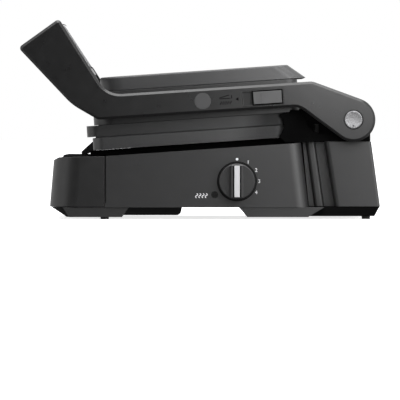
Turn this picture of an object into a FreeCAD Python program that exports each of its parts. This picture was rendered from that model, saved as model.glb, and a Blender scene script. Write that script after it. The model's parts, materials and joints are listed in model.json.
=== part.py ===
import FreeCAD, Part
import os
import re

import Sketcher
from FreeCAD import Placement, Rotation, Vector

# Electric griddle: a base with a drip drawer, two ribbed plates, and a lid hung between
# two arms that end in a U handle. Millimetres. +X points from the handle to the hinge,
# +Z up, and the origin lies on the surface that the feet stand on, under the middle.
# The dial is on the -Y side.

# ---------------------------------------------------------------- driving dimensions
DIMENSIONS = {
    # widths, measured from the middle plane
    "base_half": 168.0,
    "column_half": 150.0,
    "column_inner": 112.0,
    "block_half": 132.0,
    "pilaster_half": 138.0,
    "arm_outer": 168.0,
    "arm_inner": 152.0,
    "cover_inner": 150.4,
    "lid_half": 148.0,
    "top_half": 146.0,
    "plate_half": 146.0,
    "handle_half": 150.2,
    # walls
    "case_wall": 2.5,
    "arm_wall": 2.4,
    "pan_wall": 1.6,
    "sheet_metal": 1.0,
    # slope of the plates, and their parting plane over the origin
    "tilt": 3.9,
    "parting": 94.6,
    # base, side outline
    "skirt_top": 12.7,
    "skirt_low": 2.4,
    "case_low": 13.4,
    "base_drop": 20.6,
    "seam_x": -101.0,
    "case_rear_low": 115.5,
    "case_rear_high": 107.5,
    "case_corner": 14.0,
    # rear housing and columns
    "column_top": 82.8,
    "column_rear_low": 192.0,
    "column_rear_high": 182.4,
    "column_front_low": 144.2,
    "column_front_high": 133.0,
    "block_top": 82.0,
    "block_rear": 180.0,
    # main hinge
    "hinge_x": 163.3,
    "hinge_z": 106.0,
    "hub_radius": 23.3,
    "bracket_radius": 18.2,
    "pin_radius": 4.0,
    "pin_bore": 4.05,
    # lid pivot on the arms
    "pivot_x": 2.9,
    "pivot_z": 125.8,
    "stud_radius": 5.0,
    "stud_bore": 5.05,
    # arm and handle, side outline
    "tip_low_x": -193.4,
    "tip_low_z": 182.6,
    "tip_high_x": -150.2,
    "tip_high_z": 213.6,
    "elbow_x": -98.6,
    "elbow_z": 132.5,
    "shoulder_x": 119.7,
    "shoulder_z": 146.8,
    "armpit_x": 105.2,
    "armpit_z": 119.9,
    "chin_x": -108.5,
    "chin_z": 106.0,
    "palm_x": -136.2,
    "palm_z": 122.0,
    "arm_bevel": 2.6,
    # handle bar between the arms
    "bar_front_x": -190.6,
    "bar_front_z": 182.4,
    "bar_top_x": -150.6,
    "bar_top_z": 211.0,
    "bar_back_x": -115.8,
    "bar_back_z": 157.9,
    "bar_low_x": -159.9,
    "bar_low_z": 148.1,
    "end_angle": 35.56,
    "face_angle": 56.76,
    # dial
    "dial_x": 39.4,
    "dial_z": 40.4,
    "dial_radius": 20.3,
    "dial_face": 175.6,
    "grip_face": 184.0,
    "shaft_radius": 3.0,
    # indicator light
    "light_x": 15.6,
    "light_z": 26.3,
    "light_radius": 2.9,
    # plates
    "plate_gap": 0.7,
    "plate_front": -115.0,
    "plate_rear": 92.0,
    "plate_depth": 13.5,
    "plate_rim": 5.0,
    "plate_recess": 7.5,
    "rib_pitch": 15.0,
    "rib_count": 17.0,
    "rib_width": 5.0,
    "rib_crest": 2.0,
    "heater_radius": 3.2,
    "heater_level": 17.3,
    # lid
    "lid_front": -112.6,
    "lid_rear": 107.0,
    "lid_low": 12.9,
    "lid_high": 48.0,
    "top_low": 48.5,
    "top_high": 63.5,
    "top_front": -103.0,
    "top_rear": 119.5,
    # sliding lock, in the tilted frame
    "lock_low_x": 46.8,
    "lock_high_x": 91.2,
    "lock_mid_z": 30.3,
    "lock_half": 8.4,
    "slider_front": 58.6,
    "slider_rear": 89.6,
}

doc = FreeCAD.newDocument("griddle")
sheet = doc.addObject("Spreadsheet::Sheet", "Sheet")
for row, (alias, size) in enumerate(DIMENSIONS.items(), start=1):
    sheet.set("A%d" % row, alias)
    sheet.set("B%d" % row, str(size))
    sheet.setAlias("B%d" % row, alias)
doc.recompute()

pieces = []


# ---------------------------------------------------------------- helpers
def full(formula):
    """Puts the sheet's name before every alias in a formula."""
    def swap(match):
        word = match.group(0)
        return "Sheet." + word if word in DIMENSIONS else word
    return re.sub(r"[a-z_]+", swap, str(formula))


def number(formula):
    value = sheet.evalExpression(full(formula))
    return float(getattr(value, "Value", value))


def bind(item, prop, formula):
    item.setExpression(prop, full(formula))


def slope(x, drop):
    """Height of a line parallel to the plates, drop under their parting plane."""
    return "parting - (%s) + (%s) * tan(tilt)" % (drop, x)


def new_body(label):
    body = doc.addObject("PartDesign::Body", label)
    body.Label = label
    pieces.append(body)
    return body


def turn(item, x, z, axis_y, angle):
    """Places a piece by the heights of its frame and a turn about Y."""
    item.Placement = Placement(Vector(number(x), 0, number(z)), Rotation(Vector(0, axis_y, 0), number(angle)))
    bind(item, "Placement.Base.x", x)
    bind(item, "Placement.Base.z", z)
    bind(item, "Placement.Rotation.Angle", angle)
    return item


def tilted(item):
    return turn(item, "0", "parting", -1, "tilt")


def box(u0, u1, v0, v1):
    return [(u0, v0), (u1, v0), (u1, v1), (u0, v1)]


class Circle:
    def __init__(self, u, v, radius):
        self.centre = (u, v)
        self.radius = radius


def pin_point(sketch, geometry, point, place):
    """Ties a sketch point to two formulas."""
    for kind, axis, formula in (("DistanceX", -2, place[0]), ("DistanceY", -1, place[1])):
        value = number(formula)
        if abs(value) < 1e-9:
            sketch.addConstraint(Sketcher.Constraint("PointOnObject", geometry, point, axis))
            continue
        index = sketch.addConstraint(Sketcher.Constraint(kind, -1, 1, geometry, point, value))
        bind(sketch, "Constraints[%d]" % index, formula)


def draw(sketch, shape):
    if isinstance(shape, Circle):
        u, v = shape.centre
        middle = Vector(number(u), number(v), 0)
        sketch.addGeometry(Part.Circle(middle, Vector(0, 0, 1), number(shape.radius)), False)
        index = sketch.addConstraint(Sketcher.Constraint("Radius", 0, number(shape.radius)))
        bind(sketch, "Constraints[%d]" % index, shape.radius)
        pin_point(sketch, 0, 3, shape.centre)
        return
    corners = [Vector(number(u), number(v), 0) for u, v in shape]
    count = len(corners)
    for index in range(count):
        sketch.addGeometry(Part.LineSegment(corners[index], corners[(index + 1) % count]), False)
    for index in range(count):
        sketch.addConstraint(Sketcher.Constraint("Coincident", index, 2, (index + 1) % count, 1))
    for index, place in enumerate(shape):
        pin_point(sketch, index, 1, place)


def sketch_on(body, plane, offset):
    sketch = body.newObject("Sketcher::SketchObject", body.Label + "_sketch")
    support = [item for item in body.Origin.OriginFeatures if item.Role == plane + "_Plane"]
    sketch.AttachmentSupport = [(support[0], "")]
    sketch.MapMode = "FlatFace"
    bind(sketch, "AttachmentOffset.Base.z", offset)
    return sketch


def solid(body, plane, shape, near, far, cut=False):
    """Pads or pockets a flat shape from near to far along the plane's axis."""
    offset = "-(%s)" % far if plane == "XZ" else near
    sketch = sketch_on(body, plane, offset)
    draw(sketch, shape)
    kind = "PartDesign::Pocket" if cut else "PartDesign::Pad"
    feature = body.newObject(kind, body.Label + ("_pocket" if cut else "_pad"))
    feature.Profile = sketch
    feature.Reversed = cut
    bind(feature, "Length", "(%s) - (%s)" % (far, near))
    before = body.Shape.Volume if cut else 0.0
    doc.recompute()
    if cut and body.Shape.Volume >= before:
        raise ValueError("a pocket in %s removes nothing" % body.Label)
    return feature


def sides(near, far):
    """The same span on the two sides of the middle plane."""
    return [(near, far), ("-(%s)" % far, "-(%s)" % near)]


def edges_at(shape, places, reach=0.6):
    """Names of the edges whose middles lie at the given places."""
    names = []
    for place in places:
        target = Vector(*[number(value) for value in place])
        found = []
        for index, edge in enumerate(shape.Edges, start=1):
            middle = edge.valueAt((edge.FirstParameter + edge.LastParameter) / 2)
            found.append((middle.distanceToPoint(target), "Edge%d" % index))
        distance, name = min(found)
        if distance > reach:
            raise ValueError("no edge at %s, nearest is %.2f away" % (place, distance))
        names.append(name)
    return names


def contour(shape, axis, level, skip=None):
    """Names of the edges that lie wholly at one level along an axis."""
    names = []
    value = number(level)
    for index, edge in enumerate(shape.Edges, start=1):
        low = getattr(edge.BoundBox, axis + "Min")
        high = getattr(edge.BoundBox, axis + "Max")
        if abs(low - value) > 0.01 or abs(high - value) > 0.01:
            continue
        if skip is None or not skip(edge):
            names.append("Edge%d" % index)
    return names


def dress(body, kind, prop, size, names):
    base = body.Tip
    feature = body.newObject("PartDesign::" + kind, body.Label + "_" + kind.lower())
    feature.Base = (base, names)
    bind(feature, prop, size)
    doc.recompute()
    return feature


def own_shape(body):
    """The body's last feature in the body's own frame."""
    return body.Tip.Shape


def rounded(body, size, places):
    return dress(body, "Fillet", "Radius", size, edges_at(own_shape(body), places))


def bevelled(body, size, names):
    return dress(body, "Chamfer", "Size", size, names)


def face_at(shape, point):
    target = Part.Vertex(Vector(*[number(value) for value in point]))
    found = []
    for index, face in enumerate(shape.Faces, start=1):
        found.append((face.distToShape(target)[0], "Face%d" % index))
    return min(found)[1]


def hollow(body, wall, openings):
    """Leaves a wall inside the body and takes away the faces at the openings."""
    base = body.Tip
    names = [face_at(base.Shape, point) for point in openings]
    before = base.Shape.Volume
    feature = body.newObject("PartDesign::Thickness", body.Label + "_shell")
    feature.Base = (base, names)
    bind(feature, "Value", wall)
    feature.Join = 0
    feature.Reversed = True
    doc.recompute()
    if body.Shape.Volume > 0.95 * before:
        raise ValueError("%s was not hollowed" % body.Label)
    return feature


def block(label, xs, ys, zs, corner=None):
    """A flat-topped piece with, if asked, rounded upright corners."""
    body = new_body(label)
    solid(body, "XY", box(xs[0], xs[1], ys[0], ys[1]), zs[0], zs[1])
    if corner:
        middle = "((%s) + (%s)) / 2" % (zs[0], zs[1])
        rounded(body, corner, [(x, y, middle) for x in xs for y in ys])
    return body


def inset(outline, wall):
    """The outline moved inwards by a wall; its corners run anticlockwise."""
    corners = [Vector(number(u), number(v), 0) for u, v in outline]
    count = len(corners)
    moved = []
    for index in range(count):
        before = (corners[index] - corners[index - 1]).normalize()
        after = (corners[(index + 1) % count] - corners[index]).normalize()
        turn_sine = before.x * after.y - before.y * after.x
        shift = (after - before) * (number(wall) / turn_sine)
        moved.append((corners[index].x + shift.x, corners[index].y + shift.y))
    return moved


def group(label, parts):
    """Several equal loose solids kept as one piece."""
    joined = doc.addObject("Part::Compound", label)
    joined.Label = label
    joined.Links = parts
    pieces.append(joined)
    return joined


def rod(name, radius, length, place, direction):
    """A round bar along an axis of the frame, for use inside a group."""
    bar = doc.addObject("Part::Cylinder", name)
    bind(bar, "Radius", radius)
    bind(bar, "Height", length)
    bar.Placement = Placement(Vector(*[number(value) for value in place]), Rotation(Vector(0, 0, 1), direction))
    for letter, value in zip("xyz", place):
        bind(bar, "Placement.Base." + letter, value)
    return bar


def screw(name, place, direction, head_radius=3.0, shank_radius=1.4, shank=9.0):
    """A pan-head screw whose head starts at place and whose shank follows direction."""
    head_depth = 1.6
    start = [number(value) for value in place]
    neck = [start[i] + direction[i] * head_depth for i in range(3)]
    parts = [
        rod(name + "_head", head_radius, head_depth, start, direction),
        rod(name + "_shank", shank_radius, shank, neck, direction),
    ]
    joined = doc.addObject("Part::MultiFuse", name)
    joined.Shapes = parts
    return joined


# ---------------------------------------------------------------- base
SCREW_SPOTS = [(-85, 157), (-85, -157), (101, 155), (101, -155)]


def build_base_shell():
    body = new_body("base_shell")
    front_top = slope("seam_x", "base_drop")
    rear_top = slope("case_rear_high", "base_drop")
    outline = [
        ("seam_x - 0.6", "skirt_top"),
        ("case_rear_low", "skirt_top"),
        ("case_rear_high", rear_top),
        ("seam_x", front_top),
    ]
    solid(body, "XZ", outline, "-base_half", "base_half")
    rear_x = "(case_rear_low + case_rear_high) / 2"
    rear_z = "(skirt_top + %s) / 2" % rear_top
    rounded(body, "case_corner", [(rear_x, y, rear_z) for y in ("base_half", "-base_half")])
    hollow(body, "case_wall", [("0", "0", "skirt_top"), ("seam_x - 0.3", "0", "40")])
    solid(body, "XY", box("-93", "101", "-134", "134"), "50", "95", cut=True)
    for x, y in SCREW_SPOTS:
        solid(body, "XY", Circle(x, y, 4), "skirt_top + 2.1", slope(x, "base_drop + 1.5"))
        solid(body, "XY", Circle(x, y, 1.4), "skirt_top", "skirt_top + 14", cut=True)
    solid(body, "XZ", Circle("dial_x", "dial_z", "shaft_radius + 0.6"), "-base_half - 1", "-150", cut=True)
    solid(body, "XZ", Circle("light_x", "light_z", "light_radius + 0.05"), "-base_half - 1", "-150", cut=True)
    solid(body, "XZ", box("-74", "-50", "50", "58"), "150", "base_half + 1", cut=True)
    return body


def build_rear_housing():
    body = new_body("rear_housing")
    front_low = "case_rear_low + 0.6"
    front_high = "case_rear_high + 1.8"
    main = [
        (front_low, "case_low"),
        ("block_rear", "case_low"),
        ("block_rear", "block_top"),
        (front_high, "block_top"),
    ]
    column = [
        ("column_front_low", "case_low"),
        ("column_rear_low", "case_low"),
        ("column_rear_high", "column_top"),
        ("column_front_high", "column_top"),
    ]
    solid(body, "XZ", main, "-block_half", "block_half")
    for near, far in sides("column_inner", "column_half"):
        solid(body, "XZ", column, near, far)
    pilaster = [
        ("122.5", "case_low"),
        ("132.5", "case_low"),
        ("123", "block_top"),
        ("113", "block_top"),
    ]
    for near, far in sides("block_half - 1", "pilaster_half"):
        solid(body, "XZ", pilaster, near, far)
    pilaster_z = "(case_low + block_top) / 2"
    for x in ("117.75", "127.75"):
        rounded(body, 3.5, [(x, y, pilaster_z) for y in ("pilaster_half", "-pilaster_half")])
    middle_z = "(case_low + column_top) / 2"
    front_x = "(column_front_low + column_front_high) / 2"
    rear_x = "(column_rear_low + column_rear_high) / 2"
    for x, size in ((front_x, 5), (rear_x, 3)):
        rounded(body, size, [(x, y, middle_z) for y in ("column_half", "-column_half")])
    inner_main = [
        (front_low + " + case_wall", "case_low - 1"),
        ("block_rear - case_wall", "case_low - 1"),
        ("block_rear - case_wall", "block_top - case_wall"),
        (front_high + " + case_wall", "block_top - case_wall"),
    ]
    inner_column = [
        ("column_front_low + 4.5", "case_low - 1"),
        ("column_rear_low - 5", "case_low - 1"),
        ("column_rear_high - 5", "column_top - case_wall"),
        ("column_front_high + 4.5", "column_top - case_wall"),
    ]
    solid(body, "XZ", inner_main, "-block_half + case_wall", "block_half - case_wall", cut=True)
    for near, far in sides("column_inner + case_wall", "column_half - 3"):
        solid(body, "XZ", inner_column, near, far, cut=True)
    solid(body, "YZ", Circle("60", "28", "8.2"), "block_rear - 6", "block_rear + 1", cut=True)
    solid(body, "YZ", box("-84", "-80", "26", "56"), "block_rear - 6", "block_rear + 1", cut=True)
    slot = body.Tip
    vents = body.newObject("PartDesign::LinearPattern", "rear_housing_vents")
    vents.Originals = [slot]
    vents.Direction = (slot.Profile[0], ["H_Axis"])
    vents.Length = 80
    vents.Occurrences = 9
    body.Tip = vents
    doc.recompute()
    return body


def build_bottom_cover():
    body = new_body("bottom_cover")
    plate_top = "skirt_top + 2"
    inside = "base_half - case_wall - 0.3"
    solid(body, "XY", box("-18", "112.5", "-(%s)" % inside, inside), "skirt_top", plate_top)
    rounded(body, "case_corner", [("112.5", y, "skirt_top + 1") for y in (inside, "-(%s)" % inside)])
    for near, far in sides("148.5", inside):
        solid(body, "XY", box("seam_x", "-17", near, far), "skirt_top", plate_top)
    solid(body, "XY", box("112", "186", "-128", "128"), "skirt_top - 1", "skirt_top")
    solid(body, "XY", box("116.3", "186", "-128", "128"), "skirt_top - 1", "case_low")
    front_skirt = [
        ("-146", "skirt_top"),
        ("-139.6", "skirt_low"),
        ("-83", "skirt_low"),
        ("-76", "skirt_top"),
    ]
    rear_skirt = [
        ("41.6", "skirt_top"),
        ("50.3", "skirt_low"),
        ("115", "skirt_low"),
        ("132", "skirt_top"),
    ]
    rear_rail = [
        ("116", "case_low"),
        ("117.5", "3.2"),
        ("185.9", "3.2"),
        ("191.5", "case_low"),
    ]
    for near, far in sides("148.5", "base_half - 1"):
        solid(body, "XZ", front_skirt, near, far)
        solid(body, "XZ", rear_skirt, near, far)
    nose = [
        ("-158.4", "case_low - 0.1"),
        ("-142", "skirt_low"),
        ("-130", "skirt_low"),
        ("-130", "case_low - 0.1"),
    ]
    for near, far in sides("148.5", "152.5"):
        solid(body, "XZ", nose, near, far)
    for near, far in sides("118", "column_half - 0.5"):
        solid(body, "XZ", rear_rail, near, far)
    for x, y in SCREW_SPOTS:
        solid(body, "XY", Circle(x, y, 3.4), "skirt_low - 1", "skirt_top", cut=True)
        solid(body, "XY", Circle(x, y, 1.6), "skirt_low", "skirt_top + 3", cut=True)
    return body


def build_feet():
    front = [rod("foot_front", 4.5, "skirt_low", ("-101.5", y, "0"), Vector(0, 0, 1)) for y in (-158, 158)]
    rear = [rod("foot_rear", 4.5, "3.2", ("177", y, "0"), Vector(0, 0, 1)) for y in (-138, 138)]
    return group("rubber_feet", front + rear)


def build_base_screws():
    parts = []
    for x, y in SCREW_SPOTS:
        parts.append(screw("base_screw", (x, y, "skirt_top - 1.6"), Vector(0, 0, 1)))
    return group("base_screws", parts)


def build_hinge_bracket(label, side):
    """A hinge bracket with a thin cheek that reaches forward beside the plates."""
    body = new_body(label)
    near, far = sides("128", "column_half - 0.4")[side < 0]
    cheek = [
        ("hinge_x - 24", "83.4"),
        ("hinge_x - 24", "91"),
        ("127", "91"),
        ("116.5", "97"),
        ("112.5", "104"),
        ("112", "116.6"),
        ("96.5", "116.2"),
        ("95.5", "113.2"),
        ("86", "112.4"),
        ("84", "111.4"),
        ("88.5", "106.3"),
        ("89.8", "101"),
        ("89", "96.6"),
        ("87.2", "92"),
        ("84.5", "88"),
        ("91", "81.6"),
        ("112", "81.7"),
    ]
    web = [
        ("hinge_x - 25.5", "column_top"),
        ("hinge_x + bracket_radius", "column_top"),
        ("hinge_x + bracket_radius", "hinge_z"),
        ("hinge_x - bracket_radius", "hinge_z"),
    ]
    solid(body, "XZ", web, near, far)
    solid(body, "XZ", Circle("hinge_x", "hinge_z", "bracket_radius"), near, far)
    solid(body, "XZ", Circle("hinge_x", "hinge_z", "pin_radius"), near, far, cut=True)
    solid(body, "XZ", cheek, *sides("plate_half + 2.1", "column_half - 0.4")[side < 0])
    return body


def build_hinge_cover():
    """The hump that closes the space between the two hinge brackets."""
    outline = [
        ("110.6", "block_top + 0.2"),
        ("108.8", "block_top + 0.15"),
        ("99.2", "81.2"),
        ("99.2", "108"),
        ("104", "112.6"),
        ("108.2", "113.6"),
        ("108.2", "117"),
        ("113", "120"),
        ("150", "119"),
        ("172", "100"),
        ("176", "block_top + 0.2"),
    ]
    body = new_body("hinge_cover")
    half = "column_inner - 0.6"
    solid(body, "XZ", outline, "-(%s)" % half, half)
    inside = [
        ("113", "block_top"),
        ("112", "84.4"),
        ("101.7", "84.4"),
        ("101.7", "107"),
        ("105.3", "110.1"),
        ("110.8", "111.4"),
        ("110.8", "115.4"),
        ("114", "117.2"),
        ("149", "116.4"),
        ("169.8", "98.6"),
        ("172", "block_top"),
    ]
    solid(body, "XZ", inside, "-column_inner + 3.2", "column_inner - 3.2", cut=True)
    return body


def build_hinge_pins():
    length = "36"
    direction = Vector(0, 1, 0)
    right = rod("hinge_pin", "pin_radius", length, ("hinge_x", "-165.2", "hinge_z"), direction)
    left = rod("hinge_pin", "pin_radius", length, ("hinge_x", "129.2", "hinge_z"), direction)
    return group("hinge_pins", [right, left])


def build_rest_posts():
    parts = []
    for y in (-124, 124):
        parts.append(rod("rest_post", 2.6, 19, ("124", y, "block_top"), Vector(0, 0, 1)))
    return group("lid_rest_posts", parts)


def rib(body, low, high):
    """The first cooking rib, then the row of them across the plate."""
    start = "-rib_pitch * (rib_count - 1) / 2"
    width, crest = ("rib_width", "rib_crest") if low < high else ("rib_crest", "rib_width")
    bottom, top = (low, high) if low < high else (high, low)
    outline = [
        ("%s - %s / 2" % (start, width), str(bottom)),
        ("%s + %s / 2" % (start, width), str(bottom)),
        ("%s + %s / 2" % (start, crest), str(top)),
        ("%s - %s / 2" % (start, crest), str(top)),
    ]
    first = solid(body, "YZ", outline, "plate_front + 9", "plate_rear - 9")
    row = body.newObject("PartDesign::LinearPattern", body.Label + "_ribs")
    row.Originals = [first]
    row.Direction = (first.Profile[0], ["H_Axis"])
    bind(row, "Length", "rib_pitch * (rib_count - 1)")
    bind(row, "Occurrences", "rib_count")
    body.Tip = row
    doc.recompute()


def build_lower_plate():
    low, high = "-plate_depth", "-plate_gap"
    body = block("lower_plate", ("plate_front", "plate_rear"), ("-plate_half", "plate_half"), (low, high), 12)
    floor = "-plate_gap - plate_recess"
    lip = [
        ("plate_front + 2", "-2.8"),
        ("plate_front", "-2.8"),
        ("plate_front - 14.7", "-14.5"),
        ("plate_front - 14.2", "-17.1"),
        ("plate_front - 8", "-17.1"),
        ("plate_front + 2", "-plate_depth"),
    ]
    solid(body, "XZ", lip, "-34", "34")
    seal = box("plate_front + 3.4", "plate_rear - 3.4", "-plate_half + 3.2", "plate_half - 3.2")
    solid(body, "XY", seal, "-plate_gap - 0.1", "2")
    inner = box("plate_front + plate_rim", "plate_rear - plate_rim", "-plate_half + plate_rim",
                "plate_half - plate_rim")
    solid(body, "XY", inner, floor, "3", cut=True)
    channel = [
        ("plate_front + 6", floor),
        ("plate_front - 16", "-15.2"),
        ("plate_front - 16", "4"),
        ("plate_front + 6", "4"),
    ]
    solid(body, "XZ", channel, "-22", "22", cut=True)
    rib(body, number(floor) - 0.5, -number("plate_gap") - 0.3)
    return tilted(body)


def build_upper_plate():
    low, high = "plate_gap", "12.6"
    body = block("upper_plate", ("-120.6", "95"), ("-plate_half", "plate_half"), (low, high), 12)
    roof = "plate_gap + plate_recess"
    inner = box("plate_front + plate_rim", "plate_rear - plate_rim", "-plate_half + plate_rim",
                "plate_half - plate_rim")
    solid(body, "XY", inner, "0", roof, cut=True)
    groove = box("plate_front + 2", "plate_rear - 2", "-plate_half + 2.2", "plate_half - 2.2")
    solid(body, "XY", groove, "0", "3.6", cut=True)
    rib(body, number(roof) + 0.5, number("plate_gap") + 0.3)
    return tilted(body)


def build_plate_surround():
    """The dark ring under the lower plate, over the front it stands clear of the drawer."""
    top = "-plate_depth - 0.9"
    body = new_body("plate_surround")
    half = "133.3"
    solid(body, "XY", box("-91.5", "97.5", "-" + half, half), "-21.2", top)
    for front, rear, low in (("-101", "-91", "-20.5"), ("-108", "-101", "-19.9"), ("-118.5", "-108", "-19.3")):
        solid(body, "XY", box(front, rear, "-" + half, half), low, top)
    solid(body, "XY", box("-116", "95", "-130.8", "130.8"), "-22", "0", cut=True)
    solid(body, "XY", box("-119", "-115", "-37", "37"), "-22", "0", cut=True)
    return tilted(body)


def build_pan(label, xs, half, low, high, opening):
    """A thin pressed pan, open at the top or the bottom."""
    body = block(label, xs, ("-" + half, half), (low, high), 8)
    level = high if opening == "top" else low
    hollow(body, "sheet_metal", [("0", "0", level)])
    return tilted(body)


def build_heater(label, level):
    """A bent tubular element: four legs joined by three turns."""
    half_span = 108.0
    leg_gap = 2 * half_span / 3
    bend = leg_gap / 2
    front, rear = -40.0, 84.0
    deep = -75.0 + bend
    body = new_body(label)
    path = sketch_on(body, "XY", level)
    ys = [-half_span + leg_gap * index for index in range(4)]
    inner_rear = 28.0
    ends = [(rear, deep), (deep, inner_rear), (inner_rear, deep), (deep, rear)]
    for y, (start, stop) in zip(ys, ends):
        path.addGeometry(Part.LineSegment(Vector(start, y, 0), Vector(stop, y, 0)), False)
    turns = [(deep, ys[0], -1), (inner_rear, ys[1], 1), (deep, ys[2], -1)]
    for x, y, way in turns:
        middle = Vector(x + way * bend, y + bend, 0)
        arc = Part.Arc(Vector(x, y, 0), middle, Vector(x, y + leg_gap, 0))
        path.addGeometry(arc, False)
    profile = body.newObject("Sketcher::SketchObject", label + "_section")
    plane = [item for item in body.Origin.OriginFeatures if item.Role == "YZ_Plane"]
    profile.AttachmentSupport = [(plane[0], "")]
    profile.MapMode = "FlatFace"
    profile.AttachmentOffset = Placement(Vector(0, 0, rear), Rotation())
    draw(profile, Circle(str(ys[0]), level, "heater_radius"))
    doc.recompute()
    pipe = body.newObject("PartDesign::AdditivePipe", label + "_tube")
    pipe.Profile = profile
    pipe.Spine = (path, [])
    doc.recompute()
    return tilted(body)


def build_probe():
    body = new_body("temperature_probe")
    solid(body, "XY", Circle("5", "0", "4"), "-34", "-14")
    return tilted(body)


def build_cutout(label, x, y, low, high):
    body = new_body(label)
    solid(body, "XY", Circle(x, y, "8"), low, high)
    solid(body, "XY", box("%s - 12" % x, "%s + 12" % x, "%s - 4" % y, "%s + 4" % y), low, "%s + 1" % low)
    return tilted(body)


def build_electronics():
    block("control_board", ("-16", "90"), ("-152.6", "-151"), ("19", "64"))
    relay = block("power_relay", ("62", "84"), ("-150.8", "-138"), ("22", "40"))
    solid(relay, "XY", box("64", "82", "-149", "-140"), "40", "41")
    switch = new_body("dial_switch")
    solid(switch, "XZ", Circle("dial_x", "dial_z", "9"), "-159.4", "-152.7")
    terminals = block("terminal_block", ("124", "150"), ("20", "64"), ("skirt_top + 2", "32"))
    for y in (28, 42, 56):
        solid(terminals, "XY", Circle("137", y, "2.5"), "26", "33", cut=True)
    lens = new_body("indicator_lens")
    solid(lens, "XZ", Circle("light_x", "light_z", "light_radius"), "-base_half - 0.4", "-base_half + 3")
    return [relay, switch, terminals, lens]


def build_cord_bush():
    body = new_body("cord_bush")
    solid(body, "YZ", Circle("60", "28", "8"), "block_rear - 8", "block_rear")
    solid(body, "YZ", Circle("60", "28", "10.5"), "block_rear", "block_rear + 2.5")
    solid(body, "YZ", Circle("60", "28", "6"), "block_rear + 2.5", "block_rear + 10")
    solid(body, "YZ", Circle("60", "28", "3.6"), "block_rear - 9", "block_rear + 11", cut=True)
    return body


# ---------------------------------------------------------------- dial
def build_dial():
    knob = new_body("dial_knob")
    centre = ("dial_x", "dial_z")
    solid(knob, "XZ", Circle(*centre, "dial_radius"), "-base_half - 2.6", "-base_half - 0.6")
    solid(knob, "XZ", Circle(*centre, "dial_radius - 1.4"), "-dial_face", "-base_half - 2")
    bevelled(knob, 0.8, contour(own_shape(knob), "Y", "-dial_face"))
    grip = box("dial_x - 6.5", "dial_x + 6.5", "dial_z - 17.6", "dial_z + 17.6")
    solid(knob, "XZ", grip, "-grip_face", "-dial_face + 0.2")
    bevelled(knob, 0.9, contour(own_shape(knob), "Y", "-grip_face"))
    slot = box("dial_x - 2.95", "dial_x + 2.95", "dial_z - 16.8", "dial_z + 16.8")
    solid(knob, "XZ", slot, "-grip_face - 1", "-grip_face + 0.8", cut=True)
    bore = Circle(*centre, "shaft_radius")
    solid(knob, "XZ", bore, "-grip_face + 5", "-base_half", cut=True)
    insert = new_body("dial_insert")
    bar = box("dial_x - 2.85", "dial_x + 2.85", "dial_z - 16.7", "dial_z + 16.7")
    solid(insert, "XZ", bar, "-grip_face - 0.3", "-grip_face + 0.8")
    shaft = new_body("dial_shaft")
    solid(shaft, "XZ", bore, "-grip_face + 5", "-159.6")
    return [knob, insert, shaft]


# ---------------------------------------------------------------- drip drawer
def build_drawer():
    body = new_body("drawer_front")
    outline = [
        ("seam_x - 59.3", "case_low"),
        ("seam_x - 1.1", "case_low"),
        ("seam_x - 0.5", slope("seam_x", "base_drop")),
        ("seam_x - 49.5", "65.9"),
        ("seam_x - 55", "63"),
    ]
    solid(body, "XZ", outline, "-base_half", "base_half")
    rounded(body, 30, [("seam_x - 57.15", y, "(case_low + 63) / 2") for y in ("base_half", "-base_half")])
    cavity = box("seam_x - 51.8", "seam_x + 5", "-130", "130")
    solid(body, "XY", cavity, "case_low + case_wall", "90", cut=True)
    for near, far in sides("132", "base_half - case_wall"):
        solid(body, "XY", box("seam_x - 26", "seam_x + 5", near, far), "case_low + case_wall", "90", cut=True)
    pan = new_body("drip_pan")
    half = "128"
    floor = "case_low + case_wall + 0.3"
    split = "seam_x - 0.7"
    solid(pan, "XY", box("-146", split, "-" + half, half), floor, "60")
    solid(pan, "XY", box(split, "-20", "-" + half, half), "4", "34")
    solid(pan, "XY", box("-146", "-117.8", "-" + half, half), "59", "68.4")
    rounded(pan, 5, [("-20", "0", "4")])
    inner = "126.4"
    solid(pan, "XY", box("-144.4", "seam_x - 2.3", "-" + inner, inner), floor + " + pan_wall", "70", cut=True)
    solid(pan, "XY", box("seam_x + 1", "-21.6", "-" + inner, inner), "4 + pan_wall", "35", cut=True)
    solid(pan, "XY", box("seam_x - 4", "seam_x + 3", "-" + inner, inner), floor + " + pan_wall", "32", cut=True)
    return [body, pan]


# ---------------------------------------------------------------- arms and handle
ARM_SCREWS = [(-70, 121), (30, 126), (128, 128), (-150, 178), (-125, 140)]
ARM_CORNERS = [
    ("elbow", 26),
    ("shoulder", 15),
    ("armpit", 18),
    ("palm", 60),
    ("chin", 9),
    ("tip_low", 4),
    ("tip_high", 4),
]


def arm_outline():
    """Side outline from the lower tip clockwise; the hub's arc is added as a disc."""
    upper = ("hinge_x + hub_radius * sin(20.5)", "hinge_z + hub_radius * cos(20.5)")
    lower = ("hinge_x - hub_radius * sin(36.2)", "hinge_z - hub_radius * cos(36.2)")
    return [
        ("tip_low_x", "tip_low_z"),
        ("tip_high_x", "tip_high_z"),
        ("elbow_x", "elbow_z"),
        ("shoulder_x", "shoulder_z"),
        upper,
        lower,
        ("armpit_x", "armpit_z"),
        ("chin_x", "chin_z"),
        ("palm_x", "palm_z"),
    ]


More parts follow.
